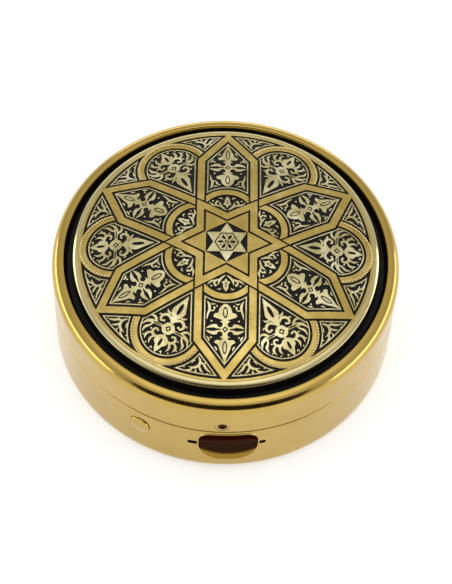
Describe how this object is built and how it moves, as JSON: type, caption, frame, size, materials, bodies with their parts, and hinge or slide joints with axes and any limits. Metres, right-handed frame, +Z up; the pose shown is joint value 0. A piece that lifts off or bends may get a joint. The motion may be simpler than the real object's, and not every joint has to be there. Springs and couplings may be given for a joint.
{
  "type": "pill box",
  "caption": "Round metal pocket pill box with an inlaid domed medallion on a hinged lid, push-button catch, mirror and divided tray.",
  "frame": {"origin": "centre of the flat underside of the base", "axes": "+Z up through the lid, -Y towards the push button, +Y towards the hinge"},
  "size_m": [0.045, 0.0476, 0.0194],
  "materials": {
    "gold_shell": "polished gold plate, fine satin scratches",
    "gold_inner": "bright gold plate on the inside fittings",
    "black_steel": "blackened oxidised steel, finely stippled",
    "inlay_gold": "hammered and engraved pale gold inlay",
    "rim_gold": "bright pale rim band",
    "spring_steel": "rolled spring strip",
    "cement": "setting cement",
    "mirror": "silvered glass",
    "card": "pressed card",
    "tray_plastic": "moulded ivory plastic, slight gloss"
  },
  "bodies": {
    "base": {"base_shell": "gold_shell", "base_collar": "gold_inner", "pill_tray": "tray_plastic", "leaf_spring": "spring_steel", "spring_rivet": "gold_shell", "base_hinge_leaf": "gold_shell", "hinge_pin": "spring_steel"},
    "lid": {"lid_shell": "gold_shell", "lid_hinge_leaf": "gold_shell", "lid_strike": "gold_inner", "strike_rivet": "gold_shell", "medallion_plate": "black_steel", "medallion_inlay": "inlay_gold", "medallion_rim": "rim_gold", "medallion_cement": "cement", "mirror_glass": "mirror", "mirror_backing": "card", "mirror_ring": "gold_inner"},
    "button": {"push_button": "gold_shell", "guide_strip": "spring_steel", "catch_plate": "spring_steel"}
  },
  "joints": [
    {"name": "lid_hinge", "type": "hinge", "parent": "base", "child": "lid", "pos_m": [0, 0.0237, 0.00988], "axis": [-1, 0, 0], "range_deg": [0, 105]},
    {"name": "button_press", "type": "slide", "parent": "base", "child": "button", "axis": [0, 1, 0], "range_m": [0, 0.001], "stiffness_N_per_m": 300, "deforming": ["leaf_spring"]}
  ]
}
